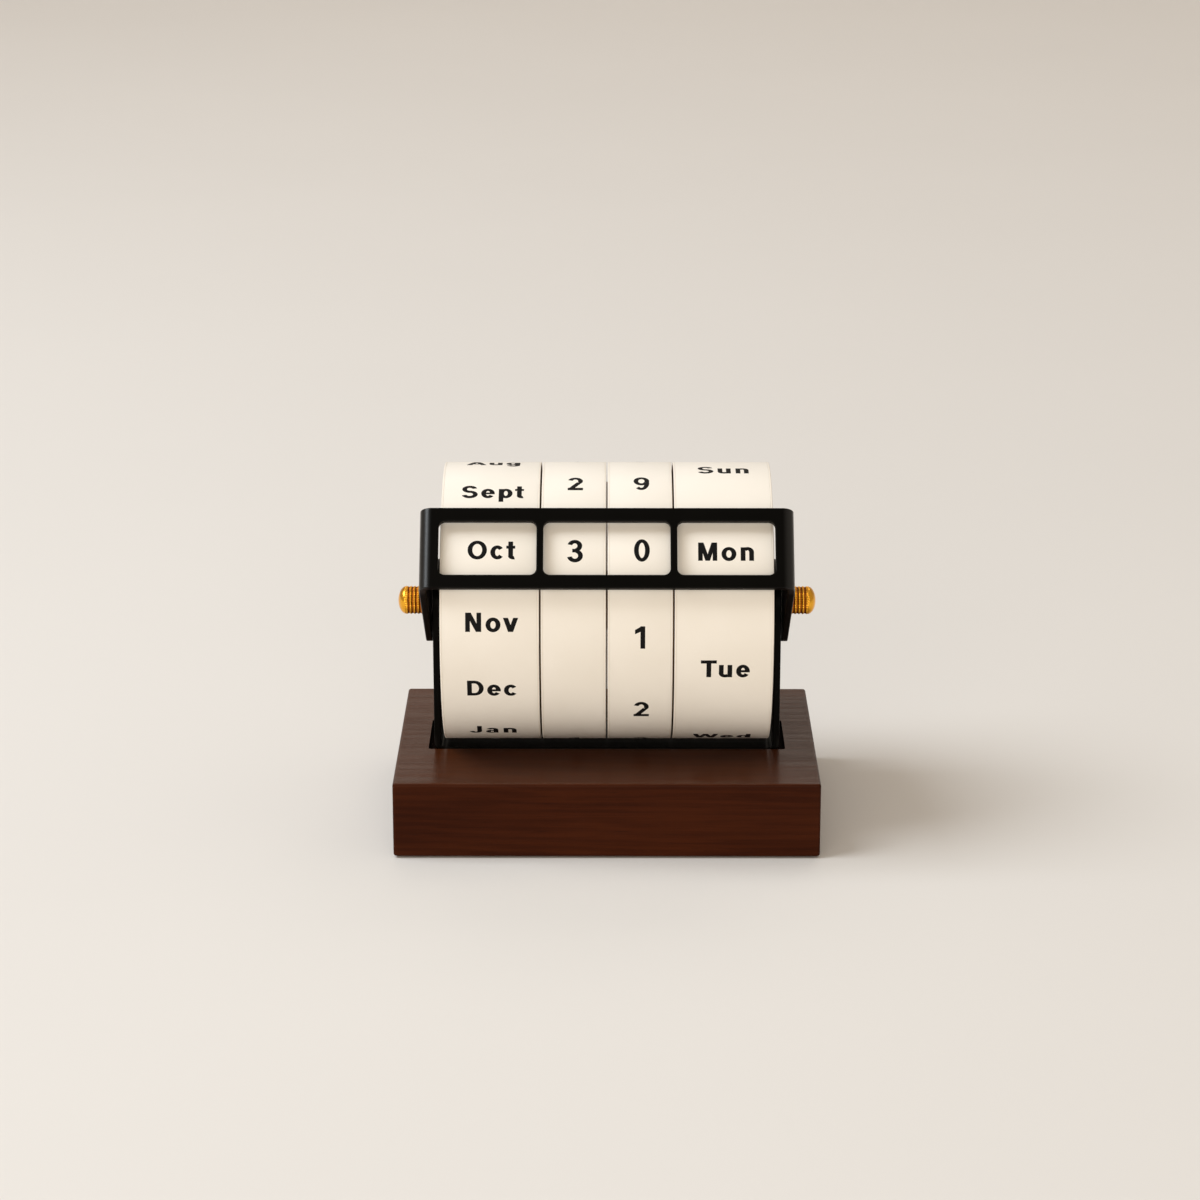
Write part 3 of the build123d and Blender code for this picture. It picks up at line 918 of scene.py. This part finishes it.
# %% Make the felt pads
def felt_finish():
    felt = Finish("felt")
    x, y, z = felt.place()
    matted = felt.noise(x * 4, y * 4, z * 4, detail=5.0, roughness=0.7)
    clump = felt.noise(x * 0.7, y * 0.7, z * 0.7, detail=2.0)
    felt.surface(
        base_color=felt.mix(matted * 0.6 + clump * 0.4, (0.018, 0.015, 0.013), (0.075, 0.062, 0.052)),
        roughness=0.95,
        normal=felt.bump(matted * 0.12, 0.9),
        sheen_weight=0.4,
    )
    return felt


felt = felt_finish()
PAD_TURNS = 72
FACE_RINGS = 12
FELT_EDGE = 0.35 * MM
RIM_START = 0.92        # where the rounded edge begins, as a share of the pad's radius
CLUMP = 0.8 * MM        # size of the felt's clumps
FELT_PULL = 0.035       # how far a clump pulls the edge in, as a share of the pad's radius
FELT_LIFT = 0.10 * MM   # how far it lifts the face


def make_pad(node):
    low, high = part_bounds(node)
    centre = (low + high) / 2
    size = (high.x - low.x) / 2
    corners = [(low.z, 0), (low.z, size), (high.z, size), (high.z, 0)]
    outline = [(low.z, size * i / FACE_RINGS) for i in range(FACE_RINGS)]
    outline += [point for point in eased(corners, FELT_EDGE, steps=5) if point[1] > size * RIM_START]
    outline.append((high.z, 0))
    builder = bmesh.new()
    columns = []
    for i in range(PAD_TURNS):
        angle = 2 * math.pi * i / PAD_TURNS
        column = []
        for height, radius in outline:
            place = Vector((centre.x + radius * math.cos(angle), centre.y + radius * math.sin(angle), height))
            pull = 0.5 + 0.5 * noise.noise(place / CLUMP)
            share = 1 - FELT_PULL * pull
            if height < centre.z:
                place.z += FELT_LIFT * pull
            place.x = centre.x + (place.x - centre.x) * share
            place.y = centre.y + (place.y - centre.y) * share
            column.append(builder.verts.new(place))
        columns.append(column)
    for here, there in zip(columns, columns[1:] + columns[:1]):
        for j in range(len(outline) - 1):
            builder.faces.new((here[j], there[j], there[j + 1], here[j + 1]))
    pad = make_object(node.replace("foot_pad", "felt_foot"), builder, crisp_degrees=80)
    pad.data.materials.append(felt.material)
    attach(pad, "stand")
    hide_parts(node)
    return pad


for corner in ("front_left", "front_right", "back_left", "back_right"):
    print("pad", make_pad("foot_pad_" + corner).name)

# %% [markdown]
# ## The studio
#
# The calendar stands on a pale sweep of card that curves up behind it, so there is no horizon.
# A large, slightly cool light hangs high on the left, and it makes the long shadow to the right. A
# wide warm light low in front brightens the lettering and the wood. A third one washes the card
# behind the calendar. A pale, warm room all round fills the shadows, and gives the lacquer and the
# black steel something to mirror.

# %% Make the sweep
SWEEP_WIDTH = 12.0
SWEEP_FRONT = -5.0
SWEEP_BEND = 2.6        # where the card starts to rise behind the calendar
SWEEP_RADIUS = 1.2
SWEEP_TOP = 4.5
SWEEP_STEPS = 24


def sweep_profile():
    points = [(SWEEP_FRONT, 0.0), (SWEEP_BEND, 0.0)]
    for i in range(1, SWEEP_STEPS + 1):
        turn = math.pi / 2 * i / SWEEP_STEPS
        points.append((SWEEP_BEND + SWEEP_RADIUS * math.sin(turn), SWEEP_RADIUS * (1 - math.cos(turn))))
    points.append((SWEEP_BEND + SWEEP_RADIUS, SWEEP_TOP))
    return points


def make_sweep():
    builder = bmesh.new()
    rows = []
    for y, z in sweep_profile():
        rows.append([builder.verts.new((side * SWEEP_WIDTH / 2, y, z)) for side in (-1, 1)])
    for here, there in zip(rows, rows[1:]):
        builder.faces.new((here[0], here[1], there[1], there[0]))
    sweep = make_object("paper_sweep", builder, crisp_degrees=60)
    card = Finish("pale_card")
    x, y, z = card.place()
    mottle = card.noise(x * 0.004, y * 0.004, z * 0.004, detail=3.0)
    card.surface(
        base_color=card.mix(mottle, (0.705, 0.680, 0.655), (0.725, 0.700, 0.675)),
        roughness=0.85,
        specular_ior_level=0.2,
    )
    sweep.data.materials.append(card.material)
    sweep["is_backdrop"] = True


make_sweep()
print("sweep made")


# %% Hang the lights
def soft_light(name, place, aim, width, height, watts, color):
    data = bpy.data.lights.new(name, "AREA")
    data.shape = "RECTANGLE"
    data.size = width
    data.size_y = height
    data.energy = watts
    data.color = color
    light = bpy.data.objects.new(name, data)
    light.location = place
    light.rotation_euler = (Vector(aim) - Vector(place)).to_track_quat("-Z", "Y").to_euler()
    bpy.context.scene.collection.objects.link(light)


soft_light("key", (-1.45, -0.25, 1.90), (0, 0, 0.04), 1.35, 1.35, 44, (0.89, 0.95, 1.0))
soft_light("fill", (-0.20, -2.4, 0.80), (0, 0, 0.05), 2.2, 1.2, 25, (1.0, 0.90, 0.76))
soft_light("wash", (0.2, 2.1, 2.3), (0.1, 1.7, 0.0), 2.4, 1.4, 15, (1.0, 0.92, 0.82))
world = bpy.data.worlds.new("pale_room")
world.use_nodes = True
world.node_tree.nodes["Background"].inputs["Color"].default_value = (1.0, 0.89, 0.76, 1)
world.node_tree.nodes["Background"].inputs["Strength"].default_value = 0.46
bpy.context.scene.world = world
bpy.context.scene.view_settings.view_transform = "Standard"
print("lights hung")

# %% [markdown]
# ## The camera
#
# The view is from the front and a little above, through a long lens, so the drums hardly widen
# towards the reader. The camera isn't rolled. It looks at the height of the axle, and stands and
# looks a hair off the middle, as any hand-set camera does.

# %% Place the camera
CAMERA_PITCH = math.radians(17.2)
CAMERA_YAW = math.radians(0.16)
CAMERA_DISTANCE = 1.052
CAMERA_SIDE = 0.7 * MM

lens = bpy.data.cameras.new("camera")
lens.sensor_width = 36
lens.lens = 103.7
lens.clip_start = 0.05
camera = bpy.data.objects.new("camera", lens)
camera.location = (
    CAMERA_SIDE,
    -CAMERA_DISTANCE * math.cos(CAMERA_PITCH),
    AXLE_Z + CAMERA_DISTANCE * math.sin(CAMERA_PITCH),
)
camera.rotation_euler = (math.pi / 2 - CAMERA_PITCH, 0, CAMERA_YAW)
bpy.context.scene.collection.objects.link(camera)
bpy.context.scene.camera = camera
print("camera at", [round(value, 3) for value in camera.location])

# %% [markdown]
# ## The size of the dressed calendar
#
# The dressed calendar must still fit the box of the measured parts, so the sizes of both boxes are
# printed, to compare.

# %% Print the sizes of the two boxes
bpy.context.view_layer.update()
dressed_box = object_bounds()
sizes = {
    "cad_box": [list(corner) for corner in part_box],
    "visual_box": [list(corner) for corner in dressed_box],
}
for name, (low, high) in sizes.items():
    print(name, [round((b - a) / MM, 2) for a, b in zip(low, high)], "mm")
